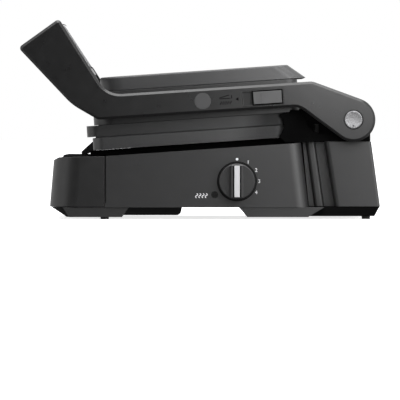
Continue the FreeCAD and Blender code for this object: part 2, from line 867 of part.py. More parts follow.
def build_arm(label, near, far, side):
    """One arm: side is -1 on the dial side and 1 on the other."""
    body = new_body(label)
    outer = "%d * arm_outer" % side
    inner = "%d * arm_inner" % side
    solid(body, "XZ", arm_outline(), near, far)
    solid(body, "XZ", Circle("hinge_x", "hinge_z", "hub_radius"), near, far)
    middle = "((%s) + (%s)) / 2" % (near, far)
    for corner, size in ARM_CORNERS:
        rounded(body, size, [(corner + "_x", middle, corner + "_z")])
    hollow(body, "arm_wall", [("0", inner, "120")])
    bevelled(body, "arm_bevel", contour(own_shape(body), "Y", outer))

    def span(depth_from, depth_to):
        values = sorted([side * depth_from, side * depth_to])
        return str(values[0]), str(values[1])

    wall_face = number("arm_outer") - number("arm_wall") + 0.2
    inner_face = number("arm_inner")
    solid(body, "XZ", Circle("hinge_x", "hinge_z", "10"), *span(inner_face, wall_face))
    solid(body, "XZ", Circle("pivot_x", "pivot_z", "9"), *span(inner_face, wall_face))
    for x, z in ARM_SCREWS:
        solid(body, "XZ", Circle(x, z, 3.4), *span(inner_face, wall_face))
        solid(body, "XZ", Circle(x, z, 1.4), *span(inner_face - 1, 163), cut=True)
    solid(body, "XZ", Circle("hinge_x", "hinge_z", "pin_bore"), *span(inner_face - 1, 165.4), cut=True)
    solid(body, "XZ", Circle("pivot_x", "pivot_z", "stud_bore"), *span(inner_face - 1, 163.4), cut=True)
    solid(body, "XZ", Circle("hinge_x", "hinge_z", "10.4"), *span(166.9, 169), cut=True)
    solid(body, "XZ", Circle("pivot_x", "pivot_z", "8.9"), *span(167.1, 169), cut=True)
    return body


def lock_point(x, z):
    """A point of the sliding lock's tilted frame, as a pair of level formulas."""
    return (
        "(%s) * cos(tilt) - (%s) * sin(tilt)" % (x, z),
        "parting + (%s) * sin(tilt) + (%s) * cos(tilt)" % (x, z),
    )


def lock_box(x0, x1, half):
    low = "lock_mid_z - (%s)" % half
    high = "lock_mid_z + (%s)" % half
    return [lock_point(x0, low), lock_point(x1, low), lock_point(x1, high), lock_point(x0, high)]


def build_arm_cover(label, near, far):
    """The flat cover that closes an arm's open inner side."""
    body = new_body(label)
    solid(body, "XZ", arm_outline(), near, far)
    solid(body, "XZ", Circle("hinge_x", "hinge_z", "hub_radius"), near, far)
    middle = "((%s) + (%s)) / 2" % (near, far)
    for corner, size in ARM_CORNERS:
        rounded(body, size, [(corner + "_x", middle, corner + "_z")])
    solid(body, "XZ", Circle("hinge_x", "hinge_z", "pin_radius + 0.5"), near, far, cut=True)
    solid(body, "XZ", Circle("pivot_x", "pivot_z", "stud_radius + 0.8"), near, far, cut=True)
    for x, z in ARM_SCREWS:
        solid(body, "XZ", Circle(x, z, 3.1), near, far, cut=True)
    return body


def build_arm_screws():
    parts = []
    for side in (-1, 1):
        for x, z in ARM_SCREWS:
            place = (x, side * 150.4, z)
            parts.append(screw("arm_screw", place, Vector(0, side, 0)))
    return group("arm_screws", parts)


def build_lock(arm):
    window = lock_box("lock_low_x", "lock_high_x", "lock_half")
    solid(arm, "XZ", window, "-arm_outer - 1", "-arm_outer + arm_wall + 1", cut=True)
    frame = new_body("lock_frame")
    outer = lock_box("lock_low_x + 0.1", "lock_high_x - 0.1", "lock_half - 0.1")
    inner = lock_box("lock_low_x + 1.2", "lock_high_x - 1.2", "lock_half - 1.1")
    solid(frame, "XZ", outer, "-arm_outer - 0.2", "-160")
    solid(frame, "XZ", inner, "-arm_outer - 1", "-161.4", cut=True)
    slider = new_body("lock_slider")
    body = lock_box("slider_front", "slider_rear", "lock_half - 1.4")
    solid(slider, "XZ", body, "-arm_outer - 0.7", "-161.8")
    bevelled(slider, 0.7, contour(own_shape(slider), "Y", "-arm_outer - 0.7"))
    ridge = lock_box("slider_front + 9", "slider_front + 10.6", "lock_half - 2.4")
    solid(slider, "XZ", ridge, "-arm_outer - 1.5", "-arm_outer")
    return [frame, slider]


def build_caps():
    hinge_caps = []
    pivot_caps = []
    for side, y_hinge, y_pivot in ((-1, "-168.7", "-168"), (1, "166.9", "167.1")):
        direction = Vector(0, 1, 0)
        hinge_caps.append(rod("hinge_cap", 9.5, 1.8, ("hinge_x", y_hinge, "hinge_z"), direction))
        pivot_caps.append(rod("pivot_cap", 8.8, 0.9, ("pivot_x", y_pivot, "pivot_z"), direction))
    return [group("hinge_caps", hinge_caps), group("pivot_caps", pivot_caps)]


BUTTON_PLACES = {
    "power_button": -96,
    "programme_down_button": -44,
    "programme_up_button": 44,
    "start_button": 96,
}


def on_end_face(item):
    """Frame of the handle's end face: X up the face, Z out of it, from its middle."""
    return turn(item, "(bar_front_x + bar_top_x) / 2", "(bar_front_z + bar_top_z) / 2", -1, "end_angle")


def build_handle():
    body = new_body("handle_blank")
    bar = [
        ("bar_front_x", "bar_front_z"),
        ("bar_top_x", "bar_top_z"),
        ("bar_back_x", "bar_back_z"),
        ("bar_low_x", "bar_low_z"),
    ]
    solid(body, "XZ", bar, "-handle_half", "handle_half")
    for corner in ("bar_front", "bar_top"):
        rounded(body, 4, [(corner + "_x", "0", corner + "_z")])
    mouth = [
        ("bar_top_x", "bar_top_z"),
        ("bar_front_x", "bar_front_z"),
        ("bar_low_x + 9.4", "bar_low_z - 10"),
        ("bar_back_x + 5.5", "bar_back_z - 8.4"),
    ]
    solid(body, "XZ", inset(mouth, "arm_wall"), "-handle_half + arm_wall", "handle_half - arm_wall", cut=True)
    cover = new_body("handle_cover")
    rim = [
        ("bar_low_x", "bar_low_z"),
        ("bar_back_x", "bar_back_z"),
        ("bar_back_x + 1.4", "bar_back_z - 2.8"),
        ("bar_low_x + 2.4", "bar_low_z - 2.2"),
    ]
    solid(cover, "XZ", rim, "-handle_half", "handle_half")
    panel = block("control_panel", ("-19", "19"), ("-124", "124"), ("0.02", "1.3"), 6)
    lens = new_body("display_lens")
    solid(lens, "XY", Circle("0", "0", "15"), "-2", "1.9")
    solid(panel, "XY", Circle("0", "0", "15.1"), "-1", "2", cut=True)
    board = block("display_board", ("-16", "16"), ("-120", "120"), ("-9.6", "-8"))
    window = block("handle_window", ("6", "60"), ("-146", "146"), ("0", "2.8"), 4)
    buttons = []
    for label, y in BUTTON_PLACES.items():
        solid(panel, "XY", Circle("0", y, "8.3"), "-1", "2", cut=True)
        button = new_body(label)
        solid(button, "XY", Circle("0", y, "8"), "-5", "2.2")
        bevelled(button, 0.5, contour(own_shape(button), "Z", "2.2"))
        buttons.append(on_end_face(button))
    holes = [(y, 8.3) for y in BUTTON_PLACES.values()] + [(0, 15.1)]
    for item in (panel, lens, board):
        on_end_face(item)
    turn(window, "bar_top_x", "bar_top_z", 1, "face_angle")
    shell = drill_end_face("handle_shell", body, holes)
    return [shell, cover, panel, lens, board, window] + buttons


def drill_end_face(label, blank, holes):
    """The handle's shell: the blank with round holes square to its end face."""
    pieces.remove(blank)
    sine, cosine = number("sin(end_angle)"), number("cos(end_angle)")
    depth = 5
    drills = []
    for y, radius in holes:
        place = (
            "(bar_front_x + bar_top_x) / 2 + %d * sin(end_angle)" % depth,
            str(y),
            "(bar_front_z + bar_top_z) / 2 - %d * cos(end_angle)" % depth,
        )
        drills.append(rod("handle_drill", radius, 2 * depth, place, Vector(-sine, 0, cosine)))
    joined = doc.addObject("Part::Compound", "handle_drills")
    joined.Links = drills
    drilled = doc.addObject("Part::Cut", label)
    drilled.Label = label
    drilled.Base = blank
    drilled.Tool = joined
    pieces.append(drilled)
    return drilled


# ---------------------------------------------------------------- lid
def build_lid():
    shell = new_body("lid_shell")
    xs = ("lid_front", "lid_rear")
    ys = ("-lid_half", "lid_half")
    solid(shell, "XY", box(*xs, *ys), "lid_low", "lid_high")
    middle = "(lid_low + lid_high) / 2"
    rounded(shell, 22, [(xs[0], y, middle) for y in ys])
    rounded(shell, 12, [(xs[1], y, middle) for y in ys])
    hollow(shell, "case_wall", [("0", "0", "lid_low")])
    plinth = box("top_front + 12", "top_rear - 33", "-top_half + 12", "top_half - 12")
    solid(shell, "XY", plinth, "lid_high - 0.5", "lid_high + 3")
    stud = ("(pivot_x) * cos(tilt) + (pivot_z - parting) * sin(tilt)",
            "(pivot_z - parting) * cos(tilt) - (pivot_x) * sin(tilt)")
    for near, far in sides("lid_half - 10", "lid_half + 1"):
        solid(shell, "XZ", Circle(*stud, "stud_radius"), near, far, cut=True)
    solid(shell, "YZ", box("52", "76", "22", "30"), "lid_front - 1", "lid_front + 6", cut=True)
    tilted(shell)

    cover = new_body("lid_top_cover")
    side = [
        ("top_front", "top_low"),
        ("top_rear - 3", "top_low"),
        ("top_rear - 21.9", "top_high"),
        ("top_front", "top_high"),
    ]
    solid(cover, "XZ", side, "-top_half", "top_half")
    middle = "(top_low + top_high) / 2"
    rounded(cover, 25, [("top_front", y, middle) for y in ("-top_half", "top_half")])
    rounded(cover, 12, [("top_rear - 12.45", y, middle) for y in ("-top_half", "top_half")])
    dress(cover, "Fillet", "Radius", 2.4, contour(own_shape(cover), "Z", "top_high"))
    margin = 9.5
    inside = box("top_front + %s" % margin, "top_rear - 30", "-top_half + %s" % margin, "top_half - %s" % margin)
    solid(cover, "XY", inside, "top_low - 1", "top_high - case_wall", cut=True)
    tilted(cover)

    frame = block("lid_frame", ("-108", "100"), ("-142", "142"), ("12.62", "16"), 16)
    solid(frame, "XY", box("-97", "91", "-132", "132"), "12", "17", cut=True)
    solid(frame, "XY", box("95.6", "99", "-120", "120"), "9.6", "13")
    tilted(frame)
    return [shell, cover, frame]


def build_pivot_studs():
    parts = []
    for y in ("-163.2", "139.2"):
        parts.append(rod("pivot_stud", "stud_radius", 24, ("pivot_x", y, "pivot_z"), Vector(0, 1, 0)))
    return group("pivot_studs", parts)


def build_lid_screws():
    parts = []
    up = Vector(number("-sin(tilt)"), 0, number("cos(tilt)"))
    for x in (-70, 70):
        for y in (-110, 110):
            place = (number("%d * cos(tilt) - 43.9 * sin(tilt)" % x), y,
                     number("parting + %d * sin(tilt) + 43.9 * cos(tilt)" % x))
            parts.append(screw("lid_screw", place, up, shank=4.0))
    return group("lid_screws", parts)


def build_releases():
    lower = block("lower_release", ("-73.6", "-50.4"), ("base_half - 9", "base_half + 1.5"), ("50.4", "57.6"))
    upper = block("upper_release", ("lid_front - 1.5", "lid_front + 8"), ("52.4", "75.6"), ("22.4", "29.6"))
    tilted(upper)
    return [lower, upper]


# ---------------------------------------------------------------- whole object
build_base_shell()
build_rear_housing()
build_bottom_cover()
build_feet()
build_base_screws()
build_hinge_bracket("hinge_bracket_right", -1)
build_hinge_bracket("hinge_bracket_left", 1)
build_hinge_cover()
build_hinge_pins()
build_rest_posts()
build_lower_plate()
build_plate_surround()
reflector = build_pan("lower_reflector", ("-92", "98"), "133", "-42", "-21.5", "top")
solid(reflector, "XY", Circle("5", "0", "4.6"), "-43", "-40", cut=True)
build_heater("lower_heating_element", "-heater_level")
build_probe()
build_cutout("lower_thermal_cutout", "45", "-60", "-49", "-42.2")
build_electronics()
build_cord_bush()
build_dial()
build_drawer()
right_arm = build_arm("arm_right", "-arm_outer", "-arm_inner", -1)
build_lock(right_arm)
build_arm("arm_left", "arm_inner", "arm_outer", 1)
build_arm_cover("arm_cover_right", "-arm_inner", "-cover_inner")
build_arm_cover("arm_cover_left", "cover_inner", "arm_inner")
build_arm_screws()
build_caps()
build_handle()
build_lid()
build_upper_plate()
build_pan("upper_reflector", ("-95", "89"), "130", "13.6", "31", "bottom")
build_heater("upper_heating_element", "heater_level")
build_cutout("upper_thermal_cutout", "45", "60", "31.2", "38")
build_pivot_studs()
build_lid_screws()
build_releases()

doc.recompute()
for item in doc.Objects:
    if "Invalid" in item.State or "Error" in item.State:
        raise ValueError("%s did not compute: %s" % (item.Label, item.State))
os.makedirs("parts", exist_ok=True)
for piece in pieces:
    shape = piece.Shape
    if shape.isNull() or not shape.isValid() or not shape.Solids:
        raise ValueError("%s has no valid solid" % piece.Label)
    shape.exportStep(os.path.join("parts", piece.Label + ".step"))
    print("%-24s solids %2d  volume %9.0f mm3" % (piece.Label, len(shape.Solids), shape.Volume))
print(len(pieces), "pieces")
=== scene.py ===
# %% [markdown]
# # An electric griddle with a tilting handle
# The appliance is a low base with a drip drawer, a hot plate, a lid with a second plate,
# and two long arms that carry the lid and end in a wide handle.
# The engineering model already holds every part at its true size, so this file gives
# the parts their finish, adds the small things a maker prints or presses on them, and
# lights them. Everything is in metres, with the front of the appliance towards -X.

# %% Load the frame and note its size
import json
import math
import bmesh
import bpy
from mathutils import Matrix, Vector

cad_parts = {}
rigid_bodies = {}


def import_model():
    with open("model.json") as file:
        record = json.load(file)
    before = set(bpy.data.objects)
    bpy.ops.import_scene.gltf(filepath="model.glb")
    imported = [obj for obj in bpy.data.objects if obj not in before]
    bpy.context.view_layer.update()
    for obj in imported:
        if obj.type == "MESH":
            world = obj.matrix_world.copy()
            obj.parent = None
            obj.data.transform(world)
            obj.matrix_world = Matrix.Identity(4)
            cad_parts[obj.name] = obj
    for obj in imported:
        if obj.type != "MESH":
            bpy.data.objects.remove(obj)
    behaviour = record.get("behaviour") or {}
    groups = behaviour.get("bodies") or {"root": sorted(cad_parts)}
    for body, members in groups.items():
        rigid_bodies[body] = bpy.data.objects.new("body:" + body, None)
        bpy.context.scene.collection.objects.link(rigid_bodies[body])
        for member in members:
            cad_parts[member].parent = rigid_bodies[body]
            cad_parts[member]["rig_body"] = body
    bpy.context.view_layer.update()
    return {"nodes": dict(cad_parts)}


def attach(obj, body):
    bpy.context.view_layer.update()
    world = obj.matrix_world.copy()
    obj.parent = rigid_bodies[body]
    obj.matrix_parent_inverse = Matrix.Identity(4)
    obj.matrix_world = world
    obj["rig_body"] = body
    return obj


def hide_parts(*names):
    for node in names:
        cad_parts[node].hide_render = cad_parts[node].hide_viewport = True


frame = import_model()
nodes = frame["nodes"]

# %% [markdown]
# ## Where a pattern lives
# A moulded part has its grain all over, whichever way it faces, so each pattern is read
# from the object's own coordinates. They stay put when the part swings or slides, which
# window or camera coordinates would not. One helper starts a material and one adds a
# noise pattern to it, and every finish below is made with them.

# %% Start a material
MM = 0.001


def new_finish(name, roughness, metallic=0.0, coat=0.0, coat_roughness=0.1):
    material = bpy.data.materials.new(name)
    material.use_nodes = True
    shader = material.node_tree.nodes["Principled BSDF"]
    shader.inputs["Roughness"].default_value = roughness
    shader.inputs["Metallic"].default_value = metallic
    shader.inputs["Coat Weight"].default_value = coat
    shader.inputs["Coat Roughness"].default_value = coat_roughness
    return material, shader


# %% Add nodes by name and join them


def add(material, kind, **values):
    node = material.node_tree.nodes.new(kind)
    for key, value in values.items():
        setattr(node, key, value)
    return node


def join(material, out, into):
    material.node_tree.links.new(out, into)


# %% Read the part's own coordinates, stretched if the grain runs one way


def grain_space(material, stretch=(1, 1, 1)):
    where = add(material, "ShaderNodeTexCoord")
    turn = add(material, "ShaderNodeMapping")
    turn.inputs["Scale"].default_value = stretch
    join(material, where.outputs["Object"], turn.inputs["Vector"])
    return turn.outputs["Vector"]


def speckle(material, space, size, detail=3.0):
    pattern = add(material, "ShaderNodeTexNoise")
    pattern.inputs["Scale"].default_value = 1 / size
    pattern.inputs["Detail"].default_value = detail
    join(material, space, pattern.inputs["Vector"])
    return pattern.outputs["Fac"]


# %% Let a pattern choose between two colours, or two amounts


def between_colours(material, pattern, low, high, dark, light):
    ramp = add(material, "ShaderNodeValToRGB")
    ramp.color_ramp.elements[0].position = low
    ramp.color_ramp.elements[1].position = high
    ramp.color_ramp.elements[0].color = (*dark, 1)
    ramp.color_ramp.elements[1].color = (*light, 1)
    join(material, pattern, ramp.inputs["Fac"])
    return ramp.outputs["Color"]


def between_amounts(material, pattern, low, high):
    span = add(material, "ShaderNodeMapRange")
    span.inputs["From Min"].default_value = 0.3
    span.inputs["From Max"].default_value = 0.7
    span.inputs["To Min"].default_value = low
    span.inputs["To Max"].default_value = high
    join(material, pattern, span.inputs["Value"])
    return span.outputs["Result"]


# %% Raise the surface a little where a pattern is light


def relief(material, shader, pattern, height, below=None):
    bump = add(material, "ShaderNodeBump")
    bump.inputs["Distance"].default_value = height
    join(material, pattern, bump.inputs["Height"])
    if below is not None:
        join(material, below, bump.inputs["Normal"])
    join(material, bump.outputs["Normal"], shader.inputs["Normal"])
    return bump.outputs["Normal"]


# %% [markdown]
# ## Moulded plastics
# The housing, arms and lid are black plastic from a spark-eroded mould, which leaves a
# fine even grain. A picture texture would show that grain, but a procedural one can
# be as fine as the real one everywhere. Three patterns do it: a wide one for the slight
# mottling of the colour, a middle one for where hands have polished it, and a fine one
# for the grain itself.

# %% Build a moulded plastic


def moulded_plastic(name, dark, light, roughness, grain=0.35 * MM, depth=0.012 * MM, shine=0.5):
    material, shader = new_finish(name, roughness)
    shader.inputs["Specular IOR Level"].default_value = shine
    space = grain_space(material)
    wide = speckle(material, space, 60 * MM)
    middle = speckle(material, space, 9 * MM, 5)
    fine = speckle(material, space, grain, 1)
    tint = between_colours(material, wide, 0.35, 0.65, dark, light)
    join(material, tint, shader.inputs["Base Color"])
    polish = between_amounts(material, middle, roughness - 0.03, roughness + 0.04)
    join(material, polish, shader.inputs["Roughness"])
    relief(material, shader, fine, depth)
    return material


def grey(value):
    return (value, value, value * 1.02)


CASE = moulded_plastic("case_grain", grey(0.0180), grey(0.0200), 0.42)
# The drawer is darker than the case as painted shade: on the real drawer the side tapers away and catches
# less light.
DRAWER_SHADED = moulded_plastic("drawer_grain_painted_shade", grey(0.0090), grey(0.0105), 0.42)
ARM = moulded_plastic("arm_satin", grey(0.0100), grey(0.0115), 0.30, depth=0.008 * MM)
LID = moulded_plastic("lid_satin", grey(0.040), grey(0.044), 0.36, depth=0.008 * MM)
PAN = moulded_plastic("pan_matt", grey(0.0150), grey(0.0180), 0.5, shine=0.06)
CAP_GREY = moulded_plastic("pivot_cap_satin", grey(0.044), grey(0.050), 0.4, grain=0.2 * MM)
BLACK = moulded_plastic("black_matt", grey(0.0030), grey(0.0045), 0.5, shine=0.2)
# Shadow black is a flat black with no shine. Most pieces that wear it are painted shade for dark gaps and for
# the space between parts.
SHADE = moulded_plastic("shadow_black", grey(0.0030), grey(0.0042), 0.6, shine=0.0)
BUTTON = moulded_plastic("button_satin", grey(0.022), grey(0.026), 0.4, grain=0.2 * MM)
SLIDER = moulded_plastic("slider_satin", grey(0.056), grey(0.063), 0.42, grain=0.25 * MM)
RUBBER = moulded_plastic("foot_rubber_matt", grey(0.010), grey(0.016), 0.75, grain=0.6 * MM)
print("plastics:", [m.name for m in (CASE, DRAWER_SHADED, ARM, LID, BLACK, BUTTON, SLIDER, RUBBER)])

# %% [markdown]
# ## Glossy panels
# The control panel and the clear strip under the handle are polished. Polished plastic
# still has hairline scratches and a very slight waviness from the mould, and those are
# what make a reflection look real, so both are drawn in the roughness and the relief; the
# clear strip has the scratches but no waviness.

# %% Build a polished plastic


def polished_plastic(name, dark, light, roughness, waviness=0.02 * MM):
    material, shader = new_finish(name, roughness, coat=1.0, coat_roughness=0.04)
    space = grain_space(material)
    wide = speckle(material, space, 25 * MM)
    hairlines = speckle(material, grain_space(material, (1, 14, 1)), 1.2 * MM, 6)
    join(material, between_colours(material, wide, 0.3, 0.7, dark, light), shader.inputs["Base Color"])
    scratches = between_amounts(material, hairlines, roughness, roughness + 0.08)
    join(material, scratches, shader.inputs["Roughness"])
    if waviness:
        relief(material, shader, wide, waviness)
    return material


PANEL = polished_plastic("panel_black", grey(0.004), grey(0.006), 0.08)
WINDOW = polished_plastic("clear_strip", grey(0.30), grey(0.36), 0.12, waviness=0)
LENS = polished_plastic("smoked_lens", grey(0.006), grey(0.010), 0.06)
WHITE = moulded_plastic("white_insert", grey(0.44), grey(0.50), 0.38, grain=0.25 * MM)
PRINT = moulded_plastic("white_print", grey(0.60), grey(0.70), 0.5, grain=0.15 * MM)
DARK_PRINT = moulded_plastic("black_print", grey(0.0010), grey(0.0020), 0.7, grain=0.15 * MM, shine=0.0)
print("polished:", PANEL.name, WINDOW.name, LENS.name)

# %% [markdown]
# ## Metals and coatings
# The plates are die-cast aluminium with a sprayed non-stick coat. The spray dries with a
# faint orange-peel skin and carries tiny bright flakes, so the coat has a middle relief
# for the skin and a sparse fine pattern for the flakes. Pressed and brushed parts are
# plain metal, with the pattern drawn out along the direction they were worked.
# On the real object the plates' rear ends curve in and lie in shade. These are flatter,
# so a fade in the shine stands in for the curve. An export drops a shine that changes
# over the surface, so a curved mesh would be the better way.

# %% Build the non-stick coat


def fade_along_x(material, start, end, high, low):
    where = add(material, "ShaderNodeSeparateXYZ")
    fade = add(material, "ShaderNodeMapRange")
    fade.inputs["From Min"].default_value = start
    fade.inputs["From Max"].default_value = end
    fade.inputs["To Min"].default_value = high
    fade.inputs["To Max"].default_value = low
    join(material, grain_space(material), where.inputs["Vector"])
    join(material, where.outputs["X"], fade.inputs["Value"])
    return fade.outputs["Result"]


FRONT_SHINE, REAR_SHINE = 0.62, 0.12


def nonstick_coat(name, dark, light, fade_from, fade_to):
    material, shader = new_finish(name, 0.42)
    shine = fade_along_x(material, fade_from, fade_to, FRONT_SHINE, REAR_SHINE)
    join(material, shine, shader.inputs["Specular IOR Level"])
    space = grain_space(material)
    flakes = speckle(material, space, 0.35 * MM, 2)
    skin = speckle(material, space, 1.6 * MM, 4)
    join(material, between_colours(material, flakes, 0.52, 0.78, dark, light), shader.inputs["Base Color"])
    join(material, between_amounts(material, skin, 0.36, 0.48), shader.inputs["Roughness"])
    relief(material, shader, skin, 0.03 * MM)
    return material


# %% Build a worked metal


def worked_metal(name, dark, light, roughness, stretch=(1, 1, 1), line=0.4 * MM, depth=0.01 * MM):
    material, shader = new_finish(name, roughness, metallic=1.0)
    lines = speckle(material, grain_space(material, stretch), line, 4)
    stains = speckle(material, grain_space(material), 18 * MM, 4)
    join(material, between_colours(material, lines, 0.35, 0.65, dark, light), shader.inputs["Base Color"])
    dulled = between_amounts(material, stains, roughness - 0.05, roughness + 0.08)
    join(material, dulled, shader.inputs["Roughness"])
    relief(material, shader, lines, depth)
    return material


UPPER_COAT = nonstick_coat("upper_plate_coat", grey(0.018), grey(0.058), 46 * MM, 70 * MM)
LOWER_COAT = nonstick_coat("lower_plate_coat", grey(0.032), grey(0.092), 34 * MM, 66 * MM)
PRESSED = worked_metal("pressed_aluminium", grey(0.50), grey(0.60), 0.34, (1, 6, 1), 1.2 * MM)
ELEMENT = worked_metal("element_sheath", (0.13, 0.12, 0.11), (0.24, 0.22, 0.20), 0.5)
STEEL = worked_metal("screw_steel", grey(0.45), grey(0.58), 0.3, (1, 1, 1), 0.3 * MM)
CAP = worked_metal("brushed_cap", grey(0.07), grey(0.30), 0.40, (1, 1, 1), 0.55 * MM, 0.03 * MM)
print("metals:", [m.name for m in (UPPER_COAT, LOWER_COAT, PRESSED, ELEMENT, STEEL, CAP)])

# %% [markdown]
# ## Boards and insulators
# Inside are a green circuit board and white ceramic blocks. They show only through the
# gaps, but a gap that shows nothing looks empty, so they get a plain honest finish too.

# %% Build the board and the ceramic
BOARD, board_shader = new_finish("solder_mask", 0.3)
board_tint = speckle(BOARD, grain_space(BOARD, (1, 1, 3)), 2.4 * MM, 2)
join(BOARD, between_colours(BOARD, board_tint, 0.45, 0.55, (0.01, 0.09, 0.04), (0.02, 0.16, 0.08)),
     board_shader.inputs["Base Color"])
relief(BOARD, board_shader, board_tint, 0.02 * MM)
CERAMIC = moulded_plastic("glazed_ceramic", (0.62, 0.60, 0.54), (0.74, 0.72, 0.66), 0.25)
print("insides:", BOARD.name, CERAMIC.name)

# %% [markdown]
# ## Give each engineering part its finish
# A CAD mesh arrives as loose triangles. It could be shown as it is, but its edges would
# be razor sharp, and a real moulded edge always catches a thin line of light. So every
# part that shows is copied, its loose corners are merged, flat faces are joined back
# together, and a small bevel is laid on every crisp edge. The copy then stands in for
# the original and moves with the same body.

# %% Copy a part, merge it and soften its edges
SMOOTH_BELOW = math.radians(32)


def shade(work):
    """Smooth the surface, and keep an edge crisp where it turns sharply."""
    for edge in work.edges:
        edge.smooth = edge.calc_face_angle(0) < SMOOTH_BELOW
    for facet in work.faces:
        facet.smooth = True
    return work


def merged_mesh(node, join_flats=True):
    work = bmesh.new()
    work.from_mesh(nodes[node].data)
    bmesh.ops.remove_doubles(work, verts=work.verts, dist=0.002 * MM)
    if join_flats:
        bmesh.ops.dissolve_limit(work, angle_limit=math.radians(0.3), verts=work.verts,
                                 edges=work.edges, use_dissolve_boundaries=False)
    return shade(work)


def place(name, work, material, body, bevel=0.0, segments=2):
    mesh = bpy.data.meshes.new(name)
    work.to_mesh(mesh)
    work.free()
    mesh.materials.append(material)
    piece = bpy.data.objects.new(name, mesh)
    bpy.context.scene.collection.objects.link(piece)
    if bevel:
        soften = piece.modifiers.new("soft_edges", "BEVEL")
        soften.width = bevel
        soften.segments = segments
        soften.limit_method = "ANGLE"
        soften.angle_limit = SMOOTH_BELOW
        soften.harden_normals = True
    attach(piece, body)
    return piece


def refine(node, material, bevel=0.35 * MM, segments=2):
    piece = place(node + "_finished", merged_mesh(node, join_flats=bevel > 0), material,
                  nodes[node]["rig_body"], bevel, segments)
    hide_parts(node)
    return piece


# %% [markdown]
# The outer parts get the soft edge. The size of each edge follows how the real part is
# made: about a third of a millimetre on a moulding, and half that on a small button.

# %% Finish the outer parts
OUTER = {
    "base_shell": (CASE, "case_plastic", 0.35),
    "rear_housing": (CASE, "case_plastic", 0.35),
    "bottom_cover": (CASE, "case_plastic", 0.35),
    "drawer_front": (DRAWER_SHADED, "case_plastic", 0.35),
    "drip_pan": (PAN, "black_plastic", 0.4),
    "arm_right": (ARM, "arm_plastic", 0.3),
    "arm_left": (ARM, "arm_plastic", 0.3),
    "arm_cover_right": (ARM, "arm_plastic", 0.3),
    "arm_cover_left": (ARM, "arm_plastic", 0.3),
    "handle_shell": (ARM, "arm_plastic", 0.35),
    "handle_cover": (ARM, "arm_plastic", 0.3),
    "pivot_caps": (CAP_GREY, "arm_plastic", 0.2),
    "lid_shell": (CASE, "case_plastic", 0.4),
    "lid_top_cover": (LID, "case_plastic", 0.4),
    "lid_frame": (BLACK, "black_plastic", 0.3),
    "upper_plate": (UPPER_COAT, "plate_coat", 0.5),
    "lower_plate": (LOWER_COAT, "plate_coat", 0.5),
    "lock_frame": (ARM, "black_plastic", 0.2),
    "lock_slider": (SLIDER, "case_plastic", 0),
    "dial_knob": (CASE, "case_plastic", 0.4),
    "dial_insert": (WHITE, "light_plastic", 0.3),
    "control_panel": (PANEL, "panel_gloss", 0.2),
    "display_lens": (LENS, "lens_plastic", 0.2),
    "handle_window": (WINDOW, "window_gloss", 0),
    "indicator_lens": (BLACK, "lens_plastic", 0.15),
    "power_button": (BUTTON, "black_plastic", 0.3),
    "programme_down_button": (BUTTON, "black_plastic", 0.3),
    "programme_up_button": (BUTTON, "black_plastic", 0.3),
    "start_button": (BUTTON, "black_plastic", 0.3),
    "lower_release": (BUTTON, "black_plastic", 0.3),
    "upper_release": (BUTTON, "black_plastic", 0.3),
    "cord_bush": (RUBBER, "foot_rubber", 0.2),
    "rubber_feet": (RUBBER, "foot_rubber", 0.4),
    "lid_rest_posts": (BLACK, "black_plastic", 0.3),
    # The hinge cover, the plate surround and the hinge brackets wear the shadow black as painted shade for
    # the dark space round the plates' rear.
    "hinge_cover": (SHADE, "black_plastic", 0.5),
    "plate_surround": (SHADE, "black_plastic", 0.3),
    "hinge_bracket_right": (SHADE, "black_plastic", 0.3),
    "hinge_bracket_left": (SHADE, "black_plastic", 0.3),
}
finished = {}
for node, (material, slot, edge_mm) in OUTER.items():
    finished[node] = refine(node, material, edge_mm * MM)
print("finished parts:", len(OUTER))

# %% [markdown]
# Three mouldings carry a second, black finish on part of their surface, and each is painted
# shade. The dial's flange is black, so it reads as a painted shadow ring. The bottom cover
# is black behind the skirt and the rear housing is black between its two columns, both
# painted shade where they lie in shadow. The choice is made face by face from where the
# face lies.

# %% Paint shade on some faces with a second finish


def second_finish(piece, material, chosen):
    piece.data.materials.append(material)
    for face in piece.data.polygons:
        if chosen(face.center):
            face.material_index = 1


second_finish(finished["dial_knob"], BLACK, lambda spot: spot.y > -170.7 * MM)
second_finish(finished["bottom_cover"], SHADE, lambda spot: spot.x > 118 * MM)
second_finish(finished["rear_housing"], BLACK, lambda spot: abs(spot.y) < 130 * MM)
print("second finishes given")

# %% [markdown]
# The inner parts are hidden unless the lid is open, so their own meshes stay, and only
# the material in each slot is changed.

# %% Paint the inner parts
INNER = {
    "base_screws": STEEL, "arm_screws": STEEL, "lid_screws": STEEL, "hinge_pins": STEEL,
    "pivot_studs": STEEL, "temperature_probe": STEEL, "dial_shaft": STEEL,
    "lower_reflector": PRESSED, "upper_reflector": PRESSED,
    "lower_heating_element": ELEMENT, "upper_heating_element": ELEMENT,
    "lower_thermal_cutout": CERAMIC, "upper_thermal_cutout": CERAMIC,
    "terminal_block": CERAMIC, "control_board": BOARD, "display_board": BOARD,
    "power_relay": BLACK, "dial_switch": BLACK,
}
for node, material in INNER.items():
    nodes[node].data.materials.clear()
    nodes[node].data.materials.append(material)
print("painted parts:", len(INNER), "left:", sorted(set(nodes) - set(OUTER) - set(INNER)))

# %% [markdown]
# ## Printed marks
# The dial's figures, the zero dot and the small symbols are pad printed: a film of paint
# a few hundredths of a millimetre thick. A picture texture would do it, but thin shapes
# stay sharp at any distance. Figures come from a text curve that is turned into a mesh.
# Lines are ribbons: one short edge, spun round a centre, leaves a curved stroke behind it.

# %% Stand a flat mark on the right-hand side of the appliance
PRINT_FILM = 0.05 * MM
SIDE_FACE = -168.0 * MM


